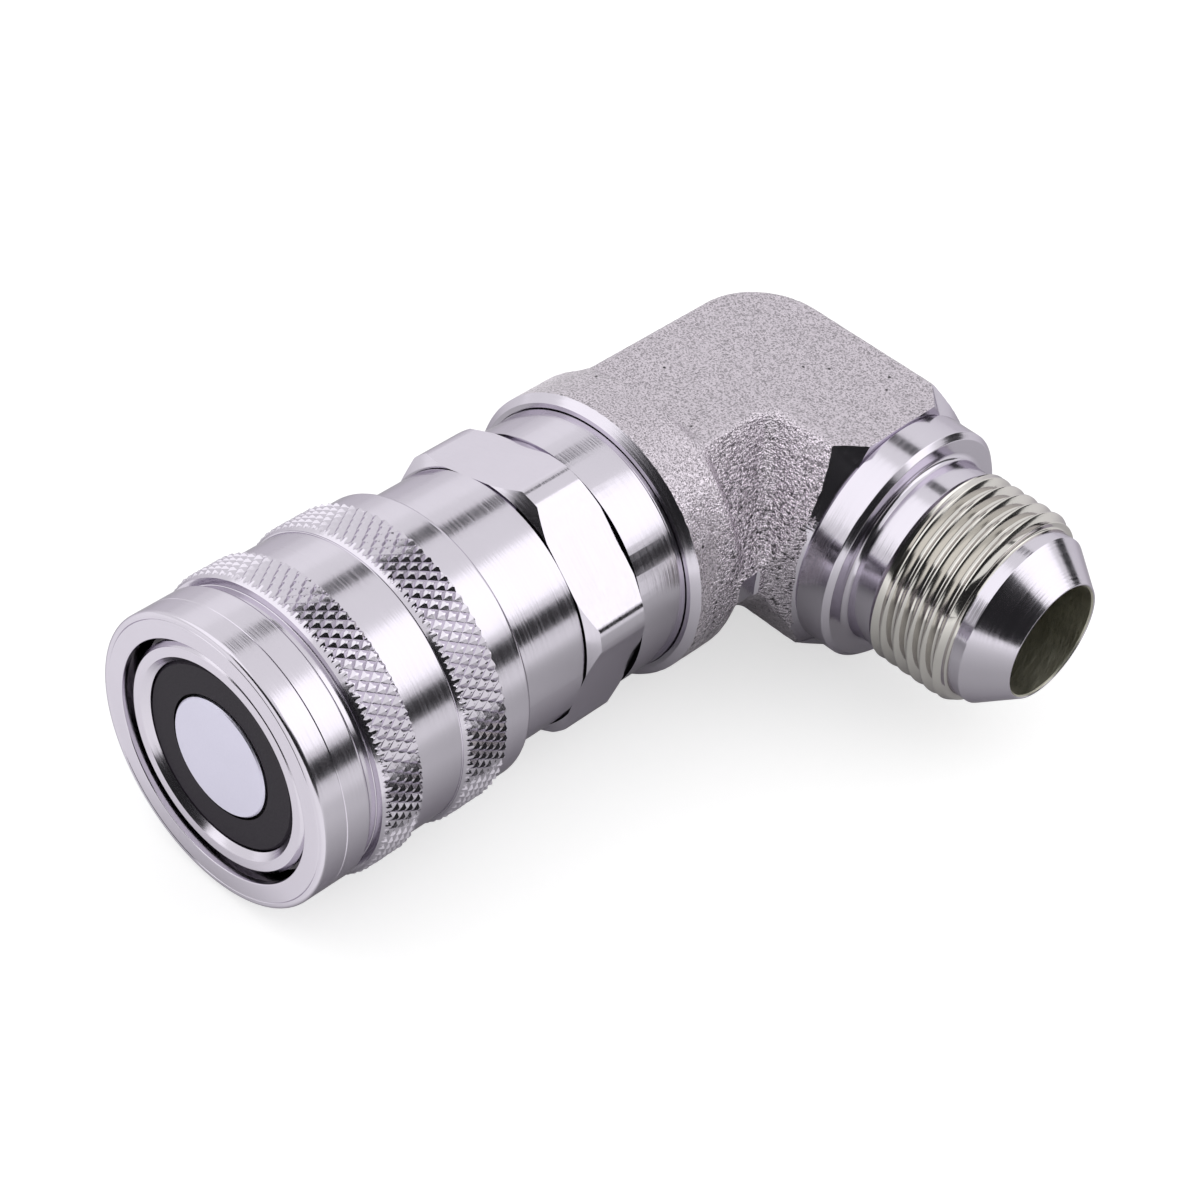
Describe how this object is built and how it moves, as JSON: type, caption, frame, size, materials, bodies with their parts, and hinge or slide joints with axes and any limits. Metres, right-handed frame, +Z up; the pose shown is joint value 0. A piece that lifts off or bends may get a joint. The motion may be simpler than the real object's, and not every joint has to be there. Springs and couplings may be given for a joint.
{
  "type": "elbow quick coupling",
  "caption": "Socket half of a flat-face quick coupling with a knurled release sleeve, screwed into a forged right-angle elbow with a threaded flare end.",
  "frame": {"origin": "centre of the coupling's flat mating face, on the coupling's axis", "axes": "-Y out of the socket, the way the plug leaves; +X along the flare end, out of the elbow; +Z up, square to both"},
  "size_m": [0.0703, 0.1098, 0.0394],
  "materials": {
    "plated_steel": "bright plated, turned",
    "forged_steel": "plated forging, fine grain, turned ends bright",
    "black_coat": "matte black coat",
    "satin_steel": "satin",
    "ball_steel": "polished",
    "spring_steel": "drawn wire",
    "seal_rubber": "matte",
    "backup_polymer": "matte"
  },
  "bodies": {
    "fitting": {"elbow": "forged_steel", "socket_body": "plated_steel", "hex_adapter": "plated_steel", "valve_stem": "satin_steel", "bonded_washer": "plated_steel", "lock_balls": "ball_steel", "sleeve_spring": "spring_steel", "sleeve_stop_ring": "spring_steel", "valve_spring": "spring_steel", "stem_seal": "seal_rubber", "nose_seal": "seal_rubber", "nose_backup_ring": "backup_polymer", "stem_spider": "plated_steel", "stem_washer": "plated_steel", "stem_nut": "plated_steel", "adapter_seal": "seal_rubber", "adapter_backup_ring": "backup_polymer", "bonded_washer_lip": "seal_rubber"},
    "sleeve": {"outer_sleeve": "plated_steel"},
    "valve": {"valve_sleeve": "black_coat", "valve_guide_ring": "backup_polymer"}
  },
  "joints": [
    {"name": "sleeve_pull", "type": "slide", "parent": "fitting", "child": "sleeve", "axis": [0, 1, 0], "range_m": [0, 0.005], "stiffness_N_per_m": 1500, "springref_m": -0.01, "deforming": ["sleeve_spring"]},
    {"name": "valve_push", "type": "slide", "parent": "fitting", "child": "valve", "axis": [0, 1, 0], "range_m": [0, 0.011], "stiffness_N_per_m": 3000, "springref_m": -0.008, "deforming": ["valve_spring"]}
  ]
}
